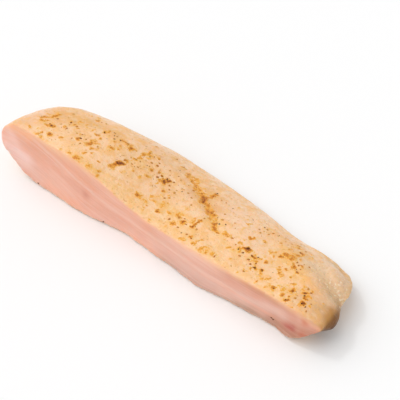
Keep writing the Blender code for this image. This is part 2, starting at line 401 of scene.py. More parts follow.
def off_path(flat, points):
    """The same from a path, and the share of the path where it is nearest."""
    distance = np.full(len(flat), np.inf)
    share = np.zeros(len(flat))
    for index, (start, end) in enumerate(zip(points, points[1:])):
        start, line = np.array(start), np.array(end) - np.array(start)
        t = np.clip((flat - start) @ line / (line @ line), 0.0, 1.0)
        off = np.linalg.norm(flat - start - t[:, None] * line, axis=1)
        nearer = off < distance
        distance[nearer] = off[nearer]
        share[nearer] = (index + t[nearer]) / (len(points) - 1)
    return distance, share


# %% The folds
VALLEY, VALLEY_DEPTH, VALLEY_REACH = ((176.0, 18.5), (152.0, 29.0)), 2.2, 4.5
SHALLOW_END = 0.4  # the valley's depth at its inner end, as a share
LOBE_AT, LOBE_HEIGHT, LOBE_REACH = (167.0, 31.0), 1.8, 9.0
SWELL, SWELL_SIZE, SWELL_LAYER = 0.5, (22.0, 14.0, math.inf), 3.0  # the same at every height
CREASES = (  # (width, depth, the points that it runs through)
    (2.6, 0.8, ((76.0, 41.0), (84.5, 35.0), (95.0, 29.5), (104.0, 23.0), (113.0, 15.5))),
    (2.0, 0.5, ((95.0, 29.5), (97.0, 37.5))),
    (2.6, 0.6, ((56.5, 6.0), (58.5, 15.0), (61.5, 33.5))),
)

valley_off, valley_share = off_path(spots[:, :2], VALLEY)
folds = -VALLEY_DEPTH * bump(valley_off, 0.0, VALLEY_REACH) * blend(1.0, SHALLOW_END, valley_share)
folds += LOBE_HEIGHT * bump(off_spot(spots, *LOBE_AT), 0.0, LOBE_REACH)
crease = np.zeros(len(spots))
for width, depth, points in CREASES:
    off, share = off_path(spots[:, :2], points)
    fading = np.sin(math.pi * blend(0.12, 0.88, share))
    crease = np.maximum(crease, depth * bump(off, 0.0, width) * fading)
folds -= crease
folds += SWELL * lumps(SWELL_SIZE, SWELL_LAYER)

top = cut_height(xs) * crown(np.clip(ys / half_width(xs), 0.0, CROWN_END))
upper = np.clip(zs / top, 0.0, 1.0) ** 2
tell("folds, mm", folds)

# %% The foot: round it, the underside keeps a little clear of the floor
FOOT_AT, FOOT_HALF = (90.0, 17.0), (66.0, 13.0)
FOOT_WAIST, FOOT_EDGE = 2.0, 3.0
CLEARANCE, CLEAR_UP_TO = 0.4, 5.0


def past_foot(side, other, half):
    """How far a point lies past an edge of the foot. The edge is drawn in at its middle."""
    return np.maximum(half * (side - 1.0) + FOOT_WAIST * (1.0 - np.minimum(other, 1.0) ** 2), 0.0)


foot_x = np.abs((xs - FOOT_AT[0]) / FOOT_HALF[0])
foot_y = np.abs((ys - FOOT_AT[1]) / FOOT_HALF[1])
off_foot = np.hypot(past_foot(foot_x, foot_y, FOOT_HALF[0]), past_foot(foot_y, foot_x, FOOT_HALF[1]))
clearance = CLEARANCE * eased(off_foot / FOOT_EDGE) * np.maximum(1.0 - zs / CLEAR_UP_TO, 0.0)
move(np.outer(upper * folds + clearance, (0.0, 0.0, 1.0)))
tell("clearance, mm", clearance)

# %% [markdown]
# ## Browned marks
#
# Where seasoning lay thick, the outside is stained gold to dark brown. Each stain is a soft dot or streak
# with a place, a size and a strength, the largest ones listed and the small ones scattered round them.
# Their outlines wander, because soft noise shifts the places a little. The strength is kept as a number for
# each point. The material turns it into colour later, and the relief below uses it too.

# %% The stains
MARKS = (  # (along, across, reach, strength)
    (14.4, 5.6, 1.3, 0.5), (15.6, 12.4, 1.4, 0.66), (17.2, 19, 2.3, 0.52), (21.4, 12.4, 1.9, 0.84),
    (24.8, 7.2, 1.8, 0.68), (25.3, 21.4, 1.4, 0.52), (27.9, 19.7, 1.3, 0.52), (29.8, 20.9, 1.2, 0.5),
    (33.6, 27, 1.8, 0.5), (36.3, 13.6, 1.3, 0.68), (40.7, 25.9, 1.3, 0.68), (42.6, 14.5, 1.8, 0.74),
    (43, 21.4, 1.5, 0.5), (43.9, 3.5, 3, 0.5), (45, 12.8, 1.2, 0.56), (47.2, 14.7, 1.3, 0.54),
    (50.1, 19.6, 2.2, 0.5), (50.9, 4.1, 2.7, 0.46), (50.6, 27.1, 2, 0.54), (55.5, 27.2, 2.2, 0.68),
    (63.9, 30.2, 2.6, 0.46), (70.3, 20.1, 1.4, 0.6), (76.2, 9.2, 2, 0.42), (76.6, 23.6, 1.6, 0.78),
    (77.9, 25.2, 1.3, 0.8), (76.3, 21, 1, 0.55), (80.3, 12.8, 3.2, 0.4), (83.9, 29.5, 1.1, 0.5),
    (85.1, 13.1, 2.4, 0.4), (93.9, 12.9, 2.4, 0.54), (95.1, 7.6, 1.8, 0.54), (98.3, 10.1, 1.8, 0.72),
    (106.4, 5.8, 2.2, 0.52), (109.4, 18.3, 1.6, 0.68), (113.7, 3, 1.8, 0.54), (116.5, 17, 2.4, 0.44),
    (120.2, 4.2, 1.8, 0.42), (126.4, 13.2, 1.4, 0.66), (129.4, 15.4, 2.2, 0.85), (134, 13.8, 2, 0.6),
    (136, 7.3, 1.5, 0.56), (137.4, 9.6, 1.7, 0.75), (141.3, 9.7, 1.4, 0.66), (143.2, 25.2, 2.6, 0.56),
    (146.4, 24.1, 3.4, 0.5), (146.5, 31.4, 1.7, 0.66), (148, 17.1, 1.3, 0.52), (148.6, 13.3, 1.3, 0.54),
    (149.2, 26.8, 1.2, 0.62), (150.3, 20.1, 1.7, 0.68), (150.3, 5.2, 1.4, 0.66), (152.1, 23.5, 1.2, 0.66),
    (152.2, 18.4, 1.4, 0.78), (153, 7.5, 3.2, 0.44), (157.8, 3.1, 1.4, 0.7), (162.1, 10.7, 1.3, 0.9),
    (163, 9, 1.2, 0.72), (163.5, 13.9, 1.1, 0.56), (163.8, 5.3, 1.7, 0.78),
)
STREAKS = (  # (reach, strength, the points that it runs through)
    (1.4, 0.88, ((58.7, 15.2), (59.1, 16.6))),
    (1.5, 0.55, ((57.0, 12.0), (58.2, 14.4))),
    (1.2, 0.42, ((60.0, 19.0), (61.5, 26.0), (61.5, 33.0))),
    (2.1, 0.68, ((94.2, 30.2), (96.0, 28.4))),
    (1.3, 0.56, ((94.8, 30.0), (96.8, 33.5), (96.6, 37.0))),
    (2.0, 0.5, ((97.0, 28.0), (101.0, 25.0), (107.0, 20.5), (112.0, 16.5))),
    (2.6, 0.42, ((80.0, 38.0), (88.0, 33.5), (94.0, 30.5))),
    (1.0, 0.66, ((102.7, 10.9), (103.1, 13.1), (103.6, 15.3))),
    (1.2, 0.5, ((16.4, 16.6), (17.2, 19.0), (18.4, 22.4))),
)
HALO, CORE = (0.65, 1.15), (0.35, 0.5)  # (share of strength, share of reach)
STAIN_GAIN = 1.08


def drift(amounts, layers, size):
    """How far soft noise shifts each place, along and across."""
    return np.column_stack([amount * lumps(size, layer) for amount, layer in zip(amounts, layers)])


face_up = np.clip(2.0 * read("normal")[:, 2], 0.0, 1.0) * outside
strayed = spots[:, :2] + drift(amounts=(1.7, 1.7), layers=(51.0, 53.0), size=2.4)
stain = np.zeros(len(spots))
for along, across, reach, strength in MARKS:
    off = off_spot(strayed, along, across)
    dot = HALO[0] * bump(off, 0.0, HALO[1] * reach) + CORE[0] * bump(off, 0.0, CORE[1] * reach)
    stain = np.maximum(stain, strength * dot)
for reach, strength, points in STREAKS:
    stain = np.maximum(stain, strength * bump(off_path(strayed, points)[0], 0.0, reach))
tell("large stains", stain)

# %% Small stains, scattered round the large ones
SMALL_STAINS, SMALL_SEED, BESIDE_LARGE = 260, 4, 0.65
SPREAD_ALONG, SPREAD_ACROSS = 5.0, 3.5
SMALL_STRENGTH, SMALL_REACH = (0.32, 0.58), (0.7, 1.4)

draw = random.Random(SMALL_SEED)
for _ in range(SMALL_STAINS):
    if draw.random() < BESIDE_LARGE:
        along, across, _, _ = draw.choice(MARKS)
        along, across = draw.gauss(along, SPREAD_ALONG), draw.gauss(across, SPREAD_ACROSS)
    else:
        along, across = draw.uniform(8.0, 158.0), draw.uniform(1.5, 40.0)
    off = off_spot(strayed, along, across)
    stain = np.maximum(stain, draw.uniform(*SMALL_STRENGTH) * bump(off, 0.0, draw.uniform(*SMALL_REACH)))
stain *= STAIN_GAIN * face_up
write("stain", stain)

# %% [markdown]
# ## Painting the slow changes of colour
#
# Cooked meat is never one colour. The cut is rose under its upper rim, pale along a seam and salmon near the
# board, with painted shade greying its lower rim and its thin end, and a painted highlight at the thick end's
# corner. The outside is golden near the rim, cream elsewhere, damp at the thin end with painted shade grey in
# its valley, and brown where the end turns down, partly browning and partly painted shade. Each is laid on
# like watercolour, with one pass of a soft brush along a line.
# The brush's edge wobbles, so that no pass ends evenly.

# %% A soft brush
BARE = (240, 190, 155)

paint = np.tile(shade(*BARE)[:3], (len(spots), 1))
cover = np.zeros(len(spots))
wobble = drift(amounts=(2.2, 1.6), layers=(31.0, 37.0), size=7.0)


def lay(mask, tone):
    """Lays a colour over the paint, as thickly as the mask says, from 0 to 1."""
    global paint, cover
    total = mask + cover * (1.0 - mask)
    share = mask / np.maximum(total, 1e-6)
    paint = paint + (np.array(shade(*tone)[:3]) - paint) * share[:, None]
    cover = total


def brush(flat, takes_paint, tone, strength, reach, points):
    lay(strength * bump(off_path(flat + wobble, points)[0], 0.0, reach) * takes_paint, tone)


# %% The cut. Places are (along, height)
CUT_PASSES = (  # (colour, strength, reach, the points that it runs through)
    ((233, 168, 138), 0.6, 3.4, ((20, 25), (36, 22), (59, 19), (73, 15.5), (90, 14.5))),
    ((236, 178, 154), 0.6, 3.0, ((92, 14.5), (126, 14))),
    ((222, 160, 134), 0.45, 2.6, ((126, 16.4), (150, 16), (168, 14.5))),
    ((228, 156, 122), 0.55, 1.8, ((18, 26), (28, 25.5), (38.5, 24.5), (52, 21))),
    ((228, 160, 132), 0.55, 3.2, ((10, 21), (36, 19.5))),
    ((244, 208, 192), 0.6, 2.4, ((138, 8), (150, 10), (158, 12))),
    ((240, 192, 172), 0.35, 3.0, ((60, 4), (85, 5), (110, 6))),
    ((231, 170, 144), 0.35, 2.8, ((58, 9.5), (94, 9.5))),
    ((245, 178, 146), 0.6, 2.8, ((19, 4), (40, 3), (55, 1.5), (84, 1.0), (92, 0.5))),
    # painted highlight: a pale streak of sheen on the rounded corner at the thick end
    ((245, 206, 198), 0.6, 2.2, ((3, 24), (9, 17), (14, 13.5))),
    ((248, 174, 118), 0.75, 2.4, ((2, 26.5), (6, 27), (16, 27))),
    ((228, 188, 176), 0.5, 4.5, ((5, 10), (14, 8), (22, 5))),
    ((248, 209, 199), 0.75, 4.2, ((3, 15), (8, 14), (13, 12))),
    # painted shade: this pass and the next four grey the cut along its lower rim, where it curls under, and
    # darken it towards the thin end
    ((204, 158, 142), 0.36, 8.0, ((97, 6), (142, 6), (172, 5))),
    ((202, 160, 138), 0.55, 3.4, ((94, 1), (130, 1), (168, 3))),
    ((192, 158, 146), 0.6, 2.4, ((102, 2), (124, 2))),
    ((200, 160, 138), 0.6, 2.4, ((134, 1.5), (150, 2), (166, 3.5))),
    ((160, 122, 102), 0.6, 2.2, ((122, 0.0), (138, 0.5), (154, 1.5))),
    ((243, 193, 180), 0.5, 2.0, ((51, 2.5), (66, 2.5))),
    ((242, 200, 184), 0.4, 2.4, ((106, 6.5), (140, 7))),
    ((243, 200, 180), 0.45, 2.2, ((94, 16), (124, 15))),
    # painted shade: grey low on the cut, near its middle
    ((212, 172, 158), 0.35, 4.0, ((108, 6), (124, 6))),
    ((170, 112, 86), 0.75, 5.0, ((158, 4), (176, 6))),
    ((196, 134, 108), 0.62, 3.2, ((160, 10), (176, 10.5))),
    ((205, 138, 114), 0.6, 1.5, ((130, 16.2), (143, 16), (157, 16), (164, 15))),
    ((194, 122, 84), 0.9, 1.9, ((138, 17.6), (154, 17.4))),
    ((182, 84, 62), 0.75, 1.1, ((50.2, 12.2), (51.4, 12.0))),
    ((176, 120, 92), 0.6, 1.4, ((151.5, 4.4), (155, 5.6), (158, 5))),
    ((172, 46, 32), 0.95, 1.9, ((161.2, 7.6), (163.2, 7.8))),
    ((194, 92, 56), 0.85, 1.4, ((168.4, 7.4), (169.4, 7.6))),
    ((210, 112, 72), 0.75, 1.3, ((168.8, 15.0), (169.6, 14.8))),
)
for tone, strength, reach, points in CUT_PASSES:
    brush(spots[:, [0, 2]], on_cut, tone, strength, reach, points)

# %% The outside's cream laps over the cut's upper rim
LAP_CREAM, LAP_TAN = (249, 198, 152), (222, 166, 128)

below_rim = cut_height(xs) - top_drop(xs) - zs + 0.7 * lumps(5.0, 43.0)
lap = 0.5 + 2.4 * bump(xs, 36.0, 17.0) + 1.3 * between(xs, (96.0, 116.0))
lap_share = 0.9 * (1.0 - 0.65 * bump(xs, 147.0, 9.0))
lap_share = lap_share * on_cut * (1.0 - between(below_rim / lap, (0.3, 1.5)))
lay(lap_share, LAP_CREAM)
lay(0.8 * lap_share * between(xs, (146.0, 164.0)), LAP_TAN)
tell("lap, mm", lap)

# %% The outside. Places are (along, across)
TOP_PASSES = (  # (colour, strength, reach, the points that it runs through)
    ((252, 203, 146), 0.6, 2.4, ((22, 3), (60, 3), (100, 2.5), (140, 2), (168, 3))),
    ((246, 198, 160), 0.75, 4.0, ((0, 4), (4, 14), (8, 22), (18, 36))),
    ((246, 196, 146), 0.6, 5.0, ((34, 8), (36, 22), (30, 34))),
    ((246, 200, 160), 0.4, 6.0, ((66, 12), (84, 18), (88, 24))),
    ((246, 205, 174), 0.65, 6.0, ((110, 31), (124, 26), (130, 22))),
    ((246, 202, 162), 0.5, 5.0, ((130, 22), (140, 14))),
    ((238, 180, 86), 0.55, 3.6, ((141, 25), (148, 20), (153, 17))),
    ((236, 178, 84), 0.5, 3.0, ((44, 4), (53, 3.5))),
    ((238, 184, 96), 0.45, 4.0, ((88, 13), (98, 10), (103, 8))),
    ((238, 182, 92), 0.45, 2.6, ((97, 28), (104, 23), (113, 16), (119, 12))),
    ((230, 196, 162), 0.75, 7.0, ((162, 36), (168, 30), (172, 26))),
    # painted shade: grey-tan along the valley near the thin end, where the groove lies in shade
    ((214, 178, 134), 0.8, 4.2, ((154, 29), (160, 24.5), (168, 20), (176, 18))),
    ((226, 182, 120), 0.7, 4.0, ((150, 44), (162, 41), (170, 36), (175, 28))),
    ((240, 182, 120), 0.5, 3.0, ((19, 17), (26, 20))),
    ((224, 178, 112), 0.5, 3.5, ((147, 30), (153, 25))),
    ((226, 178, 126), 0.6, 4.5, ((160, 7), (170, 8))),
    ((228, 172, 120), 0.7, 4.5, ((4, 3), (9, 6))),
    ((238, 192, 164), 0.6, 4.5, ((10, 13), (12, 18))),
    ((238, 182, 120), 0.4, 4.0, ((18, 10), (28, 12))),
    ((230, 170, 98), 0.65, 4.0, ((17, 22), (28, 25))),
    ((230, 172, 102), 0.65, 3.6, ((31, 28), (45, 30))),
    ((212, 150, 82), 0.66, 4.4, ((90, 30), (103, 26))),
    ((234, 180, 124), 0.45, 4.4, ((62, 34), (88, 36), (106, 36))),
    ((224, 176, 126), 0.5, 4.5, ((137, 36), (149, 34))),
    ((240, 190, 132), 0.4, 4.0, ((118, 5), (150, 5))),
    ((224, 172, 122), 0.5, 4.6, ((164, 4), (166, 12), (164, 18))),
    ((204, 158, 110), 0.5, 3.4, ((171, 9), (174, 12))),
    ((214, 164, 104), 0.75, 3.6, ((158, 38), (169, 34.5))),
    ((232, 198, 164), 0.5, 3.6, ((150, 28), (158, 30))),
    ((247, 192, 122), 0.45, 2.8, ((60, 5), (90, 5))),
    ((248, 202, 152), 0.4, 3.0, ((103, 6), (120, 6))),
    ((228, 182, 144), 0.4, 4.0, ((163, 11), (168, 6))),
    ((242, 198, 152), 0.35, 4.0, ((136, 23), (142, 17))),
    ((243, 200, 168), 0.4, 3.5, ((8, 15), (12, 19))),
)
FLANK_CREAM = (244, 206, 182)

for tone, strength, reach, points in TOP_PASSES:
    brush(spots[:, :2], outside, tone, strength, reach, points)
side_share = 1.0 - between(read("normal")[:, 2], (-0.1, 0.6))
before_end = 1.0 - between(xs, (160.0, 170.0))
lay(0.5 * outside * side_share * before_end, FLANK_CREAM)
tell("cover", cover)

# %% The thin end turns gold where it bends down, and browner below: partly its browning, partly painted shade on the side that faces away from the lamps
TURNED_GOLD_SHADE, TURNED_BROWN_SHADE, TURNED_DARK_SHADE = (194, 138, 72), (124, 76, 0), (88, 50, 8)

to_end = LENGTH + thin_outline(ys / half_width(xs)) - xs + 0.8 * lumps(3.0, 41.0)
to_end += 0.8 - 2.4 * bump(ys, 11.4, 3.6)
to_end /= 1.0 + 1.6 * (1.0 - between(zs, (6.0, 12.0)))
not_lobe = outside * (1.0 - between(ys, (12.5, 23.5)))
turned_and_shaded = not_lobe * (1.0 - between(to_end, (0.4, 3.2)))
# painted shade, in part: these three layers make the turned-down end darker than its browning alone, where it
# faces away from the light
lay(0.95 * turned_and_shaded * blend(0.6, 1.0, between(ys, (2.0, 9.0))), TURNED_GOLD_SHADE)
brown_shade_height = zs + 0.3 - 0.9 * bump(ys, 10.8, 3.2) + 0.9 * lumps(2.6, 47.0)
lay(0.95 * turned_and_shaded * (1.0 - between(brown_shade_height, (12.2, 14.0))), TURNED_BROWN_SHADE)
lay(0.85 * turned_and_shaded * (1.0 - between(brown_shade_height, (6.5, 11.5))), TURNED_DARK_SHADE)
tell("turned down", turned_and_shaded)

# %% The paint spreads a little, so that the colours run into each other
SPREADING = 6

spread = [soften(paint[:, channel] * cover, SPREADING) for channel in range(3)]
cover = soften(cover, SPREADING)
paint = np.column_stack(spread) / np.maximum(cover, 1e-6)[:, None]
layer = meat.data.attributes.new("paint", "FLOAT_COLOR", "POINT")
layer.data.foreach_set("color", np.column_stack([paint, cover]).astype(np.float32).ravel())
print("mean colour:", paint.mean(0).round(2))

# %% The valley and the lobe are damp and a little curdled, and take no seasoning. The curds on the lobe's flank are partly painted glints of the wet surface
DAMP_PATH, CURD_GLINT_PATH = ((156.0, 27.0), (165.0, 21.5), (173.0, 19.0)), ((167.0, 25.5), (173.0, 22.5))

damp = 0.9 * bump(off_path(spots[:, :2] + wobble, DAMP_PATH)[0], 0.0, 5.0)
damp = np.maximum(damp, 0.7 * bump(off_spot(spots, 170.0, 28.0), 0.0, 7.5))
write("damp", damp * outside * (1.0 - turned_and_shaded))
# painted highlight, in part: the curd path lies where the wet surface glints
write("curdled_glint", outside * bump(off_path(spots[:, :2], CURD_GLINT_PATH)[0], 0.0, 2.6))
write("calm", np.maximum(damp, turned_and_shaded) * outside)

# %% [markdown]
# ## Fine relief
#
# The outside puckers where it dried, is crusty where it is stained and wrinkled where it is damp. The cut
# shows long, shallow ridges, because the knife ran along the fibres, and a seam between two bundles of
# muscle that starts at the upper rim and runs down to half the height. Its lower rim is a little ragged.

# %% The seam on the cut
SEAM_HEIGHTS, SEAM_RUN = (28.5, 12.2), (5.0, 75.0)
SEAM_FALL, SEAM_FALL_RUN = 0.06, 60.0


def seam_height(along):
    sinking = SEAM_FALL * np.clip(along - SEAM_RUN[1], 0.0, SEAM_FALL_RUN)
    return blend(*SEAM_HEIGHTS, between(along, SEAM_RUN)) - sinking


above_seam = zs - seam_height(xs)
open_seam = between(xs, (12.0, 24.0)) * (1.0 - between(xs, (125.0, 150.0)))
write("above_seam", above_seam)
write("seam", open_seam)

# %% Points move along their normals
# Heights are in millimetres. lumps takes the size of its lumps and the layer of the noise.
normals = read("normal")
pucker = 0.18 * lumps((5.0, 3.5, 3.5), 11.0) + 0.09 * lumps((1.9, 1.5, 1.5), 12.0)
wrinkle = 0.16 * damp * lumps((3.4, 1.7, 1.7), 18.0)
crust = 0.25 * np.clip(stain - 0.2, 0.0, 1.0) * (1.0 + lumps(0.9, 13.0))
fibres = 0.16 * lumps((30.0, 2.4, 2.4), 14.0) + 0.1 * lumps((14.0, 8.0, 8.0), 15.0)
fibres -= 0.12 * bump(above_seam, 0.0, 1.0) * open_seam
under = (zs < 1.0).astype(float) * np.clip(-normals[:, 2], 0.0, 1.0)
fine = outside * (1.0 - under) * (pucker + wrinkle + crust) + on_cut * fibres
move(normals * fine[:, None])
tell("fine relief, mm", fine)

# %% The lower rim is ragged, and the mask between cut and outside is soft
LOW_RIM_REACH = 0.12
RIM_SOFTNESS, END_SOFTNESS, SOFTER = 13, 36, (70.0, 145.0)

ragged = 0.3 * lumps((1.6, 3.0, 3.0), 16.0) + 0.35 * lumps((4.5, 3.0, 3.0), 17.0)
move(np.outer(bump(shares[:, 2], 0.0, LOW_RIM_REACH) * on_cut * ragged, (0.0, 1.0, 0.0)))
write("cut", blend(soften(on_cut, RIM_SOFTNESS), soften(on_cut, END_SOFTNESS), between(xs, SOFTER)))

# %% From the cut's own measure to the frame's
THICK_END_AT = Vector((-87.969, -24.754, 0.0))

spots_mm = spots + np.array(THICK_END_AT)
spots_mm[:, 2] = np.maximum(spots_mm[:, 2], 0.0)
meat.data.vertices.foreach_set("co", (spots_mm * MM).astype(np.float32).ravel())
meat.data.update()
bpy.ops.object.shade_smooth()
meat.data.attributes.remove(meat.data.attributes["cube_place"])
print("meat, mm:", spots_mm.min(0).round(1), "to", spots_mm.max(0).round(1))

# %% [markdown]
# ## Wiring materials
#
# A material is a chain of nodes. The first two helpers fill a node's inputs and add a new node. The others
# make the nodes that are used most.

# %% Helpers for nodes


def fill(tree, node, inputs):
    """Fills a node's inputs with numbers, or with other nodes' outputs."""
    for name, value in inputs.items():
        if isinstance(value, bpy.types.NodeSocket):
            tree.links.new(value, node.inputs[name])
        else:
            node.inputs[name].default_value = value


def put(tree, kind, inputs=None, output=0, **settings):
    """Adds a node, sets it, fills its inputs and returns one of its outputs."""
    node = tree.nodes.new(kind)
    for name, value in settings.items():
        setattr(node, name, value)
    fill(tree, node, inputs or {})
    return node.outputs[output]


def sums(tree, operation, *values):
    """A step of arithmetic."""
    return put(tree, "ShaderNodeMath", dict(enumerate(values)), operation=operation)


def times(tree, first, second):
    return sums(tree, "MULTIPLY", first, second)


def times_plus(tree, first, second, third):
    """The first two multiplied, plus the third."""
    return sums(tree, "MULTIPLY_ADD", first, second, third)


def mixed(tree, factor, first, second):
    """A mix of two colours."""
    return put(tree, "ShaderNodeMix", {0: factor, 6: first, 7: second}, output=2, data_type="RGBA")


def mixed_number(tree, factor, first, second):
    """A mix of two numbers."""
    return put(tree, "ShaderNodeMix", {0: factor, 2: first, 3: second}, data_type="FLOAT")


def glaze(tree, tones, *layers):
    """Lays colours over the tones. Each layer is (mask, its largest share, colour)."""
    for mask, share, colour in layers:
        tones = mixed(tree, times(tree, mask, share), tones, colour)
    return tones


def rise(tree, value, low, high):
    """0 at low, 1 at high, and a smooth rise between. It falls instead where high is under low."""
    inputs = {"Value": value, "From Min": low, "From Max": high}
    return put(tree, "ShaderNodeMapRange", inputs, interpolation_type="SMOOTHSTEP")


def ramp(tree, value, *stops):
    """A colour ramp. Each stop is (position, colour), its two ends first."""
    colour = put(tree, "ShaderNodeValToRGB", {0: value})
    elements = colour.node.color_ramp.elements
    for index, (position, tone) in enumerate(stops):
        element = elements[index] if index < 2 else elements.new(position)
        element.position, element.color = position, tone
    return colour


def cloud(tree, where, scale, detail=3.0, stretch=None):
    """Noise from 0 to 1 in lumps of 1 / scale metres. A stretch under 1 makes them longer."""
    if stretch:
        where = put(tree, "ShaderNodeMapping", {"Vector": where, "Scale": stretch})
    return put(tree, "ShaderNodeTexNoise", {"Vector": where, "Scale": scale, "Detail": detail})


def ripple(tree, where, scale, detail=3.0):
    """The same noise, from -0.5 to 0.5."""
    return sums(tree, "SUBTRACT", cloud(tree, where, scale, detail), 0.5)


def object_place(tree):
    """Where a point is on the object, in metres."""
    return put(tree, "ShaderNodeTexCoord", output=3)


def kept(tree, name, output=2):
    """What the mesh keeps under this name: output 2 is a number, 0 a colour and 3 its alpha."""
    return put(tree, "ShaderNodeAttribute", output=output, attribute_name=name)


def new_group(name, inputs, outputs):
    """An empty group and its two ends, from its inputs' values and its outputs' kinds."""
    group = bpy.data.node_groups.new(name, "ShaderNodeTree")
    for socket, value in inputs.items():
        group.interface.new_socket(socket, in_out="INPUT", socket_type="NodeSocketFloat").default_value = value
    for socket, kind in outputs.items():
        group.interface.new_socket(socket, in_out="OUTPUT", socket_type="NodeSocket" + kind)
    return group, group.nodes.new("NodeGroupInput"), group.nodes.new("NodeGroupOutput")


# %% [markdown]
# ## Two effects that both materials share
#
# Moisture is the first: wet food is glossy in patches, so the roughness wanders. The second is browning: a
# number goes in, and a colour between gold and nearly black comes out. Both are node groups, so the meat
# and the pepper can share them.

# %% The moist film
FILM_INPUTS = {"Scale": 300.0, "Wettest": 0.28, "Driest": 0.55}

film, group_in, group_out = new_group("moist_film", FILM_INPUTS, {"Roughness": "Float", "Wet": "Float"})
wet = rise(film, cloud(film, object_place(film), group_in.outputs["Scale"], 4.0), 0.62, 0.38)
levels = {"Value": wet, "To Min": group_in.outputs["Driest"], "To Max": group_in.outputs["Wettest"]}
fill(film, group_out, {"Roughness": put(film, "ShaderNodeMapRange", levels), "Wet": wet})
print(film.name, "has", len(film.nodes), "nodes")

# %% Browning
BROWNING_STOPS = (  # (strength, colour), the two ends first
    (0.0, shade(252, 204, 134)), (1.0, shade(50, 26, 10)), (0.25, shade(247, 189, 100)),
    (0.42, shade(237, 163, 58)), (0.6, shade(208, 124, 33)), (0.78, shade(142, 74, 16)),
    (0.92, shade(84, 42, 10)),
)

browning, group_in, group_out = new_group("browning", {"Strength": 0.0}, {"Color": "Color"})
fill(browning, group_out, {"Color": ramp(browning, group_in.outputs["Strength"], *BROWNING_STOPS)})

# %% [markdown]
# ## The meat's material
#
# One material covers the cut and the outside, because they melt into each other at the rim: a mask from
# the mesh says how much of each a point has. The flesh gets soft mottling and fine streaks along its
# fibres. The outside gets cream and golden patches, small golden flecks and the stains.

# %% The flesh of the cut
PALE_FLESH, ROSE_FLESH = shade(237, 178, 155), shade(230, 166, 142)

cooked, tree, shader = new_material("cooked_chicken")
where = object_place(tree)
split = put(tree, "ShaderNodeSeparateXYZ", {0: where}).node
height = kept(tree, "above_seam")
flow_place = {"X": split.outputs[0], "Y": split.outputs[1], "Z": times(tree, height, MM)}
flow = put(tree, "ShaderNodeCombineXYZ", flow_place)
mottle = cloud(tree, flow, 130.0, 3.0, (0.5, 1.0, 1.0))
flesh = mixed(tree, rise(tree, mottle, 0.36, 0.64), PALE_FLESH, ROSE_FLESH)

# %% The outside
CREAM, GOLD = shade(253, 204, 159), shade(249, 192, 131)

patches = cloud(tree, where, 110.0, 4.0, (0.8, 1.0, 1.0))
cream = mixed(tree, rise(tree, patches, 0.46, 0.56), CREAM, GOLD)

# %% Paint over both, where the brush passed
cut_mask = rise(tree, times_plus(tree, ripple(tree, where, 500.0), 0.6, kept(tree, "cut")), 0.2, 0.8)
tones = mixed(tree, cut_mask, cream, flesh)
tones = mixed(tree, kept(tree, "paint", 3), tones, kept(tree, "paint", 0))

# %% Fibres and the seam, over the cut. The pale fibres show less at the thin end
PALE_FIBRE, DARK_FIBRE, BROAD_FIBRE = shade(243, 200, 182), shade(216, 144, 120), shade(240, 170, 140)
PALE_SEAM = shade(246, 208, 190)

streaks = cloud(tree, flow, 700.0, 4.0, (0.045, 0.6, 1.0))
fine_streaks = cloud(tree, flow, 2200.0, 3.0, (0.03, 0.6, 1.0))
broad_streaks = cloud(tree, flow, 300.0, 3.0, (0.07, 0.6, 1.0))
fibre_share = times_plus(tree, rise(tree, split.outputs[0], 0.08, 0.04), 0.65, 0.35)
seam_wander = times_plus(tree, cloud(tree, where, 140.0, 2.0), 1.6, height)
off_seam = sums(tree, "ABSOLUTE", sums(tree, "SUBTRACT", seam_wander, 0.8))
cut_tones = glaze(
    tree,
    tones,
    (times(tree, rise(tree, streaks, 0.45, 0.75), fibre_share), 0.4, PALE_FIBRE),
    (rise(tree, fine_streaks, 0.45, 0.7), 0.26, DARK_FIBRE),
    (rise(tree, broad_streaks, 0.5, 0.68), 0.35, BROAD_FIBRE),
    (times(tree, rise(tree, off_seam, 1.7, 0.1), kept(tree, "seam")), 0.32, PALE_SEAM),
)

# %% Flecks, and curds that are partly painted glints, over the outside
GOLDEN_CRUMB, PALE_CRUMB = shade(243, 186, 110), shade(252, 216, 176)
FLECK, CURD_GLINT = shade(210, 150, 78), shade(255, 240, 212)

crumbs = cloud(tree, where, 420.0, 5.0)
dry_share = sums(tree, "SUBTRACT", 1.0, kept(tree, "calm"))
clusters = rise(tree, cloud(tree, where, 70.0, 2.0), 0.42, 0.58)
flecks = rise(tree, cloud(tree, where, 760.0, 3.0), 0.6, 0.68)
curd_glint_cloud = cloud(tree, where, 1100.0, 4.0, (0.7, 0.7, 1.0))
curds_and_glints = rise(tree, times_plus(tree, kept(tree, "curdled_glint"), 0.11, curd_glint_cloud), 0.62, 0.69)
top_tones = glaze(
    tree,
    tones,
    (times(tree, rise(tree, crumbs, 0.52, 0.6), dry_share), 0.44, GOLDEN_CRUMB),
    (times(tree, rise(tree, crumbs, 0.48, 0.38), dry_share), 0.3, PALE_CRUMB),
    (times(tree, times(tree, flecks, clusters), dry_share), 0.6, FLECK),
    # painted highlight, in part: the white curds are flecks of set protein and also stand in for wet glints
    (times(tree, curds_and_glints, kept(tree, "damp")), 0.8, CURD_GLINT),
)

# %% Stains: noise breaks up their outlines before the browning gives the colour
COARSE_BREAK, FINE_BREAK = 0.85, 0.7

stained = times(tree, kept(tree, "stain"), dry_share)
gate = rise(tree, stained, 0.04, 0.35)
coarse_break = times(tree, ripple(tree, where, 560.0), COARSE_BREAK)
fine_break = times(tree, ripple(tree, where, 1500.0), FINE_BREAK)
stain_level = times_plus(tree, sums(tree, "ADD", coarse_break, fine_break), gate, stained)
stain_tone = put(tree, "ShaderNodeGroup", {"Strength": stain_level}, node_tree=browning)
top_tones = mixed(tree, rise(tree, stain_level, 0.14, 0.4), top_tones, stain_tone)
fill(tree, shader, {"Base Color": mixed(tree, cut_mask, top_tones, cut_tones)})

